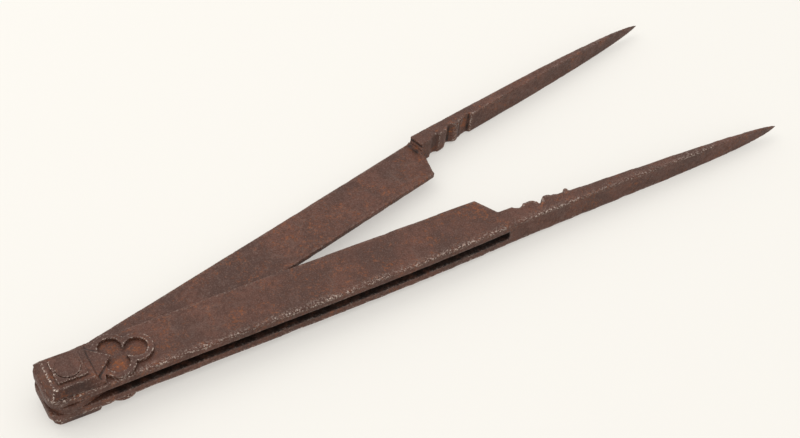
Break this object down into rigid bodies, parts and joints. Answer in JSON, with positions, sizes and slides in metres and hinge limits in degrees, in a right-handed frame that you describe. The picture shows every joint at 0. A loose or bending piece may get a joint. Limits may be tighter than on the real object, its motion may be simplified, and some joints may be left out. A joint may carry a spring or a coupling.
{
  "type": "blacksmith dividers",
  "caption": "Large forged iron dividers: a leaf leg folds into a slotted leg on a riveted hinge with pierced trefoil plates, to step off and scribe distances.",
  "frame": {"origin": "on the hinge axis, at the flat end of the pin's lower head, the face that the hinge end lies on", "axes": "+Z along the hinge axis, +X from the hinge along the slotted leg to its point, +Y towards the side on which the leaf leg opens"},
  "size_m": [0.4733, 0.1355, 0.0269],
  "materials": {
    "forged_iron": "dark brown patina, finely pitted, rust in patches, worn pale along the arrises",
    "plate_iron": "dark brown patina with rust in the piercings and worn rims",
    "rivet_iron": "hammered, dark, with rust round the rove"
  },
  "bodies": {
    "slotted_leg_body": {"slotted_leg": "forged_iron", "top_trefoil_plate": "plate_iron", "bottom_trefoil_plate": "plate_iron", "top_rove": "rivet_iron", "bottom_rove": "rivet_iron", "pivot_pin": "rivet_iron"},
    "leaf_leg_body": {"leaf_leg": "forged_iron"}
  },
  "joints": [
    {"name": "leg_hinge", "type": "hinge", "parent": "slotted_leg_body", "child": "leaf_leg_body", "pos_m": [0, 0, 0.01345], "axis": [0, 0, 1], "range_deg": [-15.2, 164.8]}
  ]
}
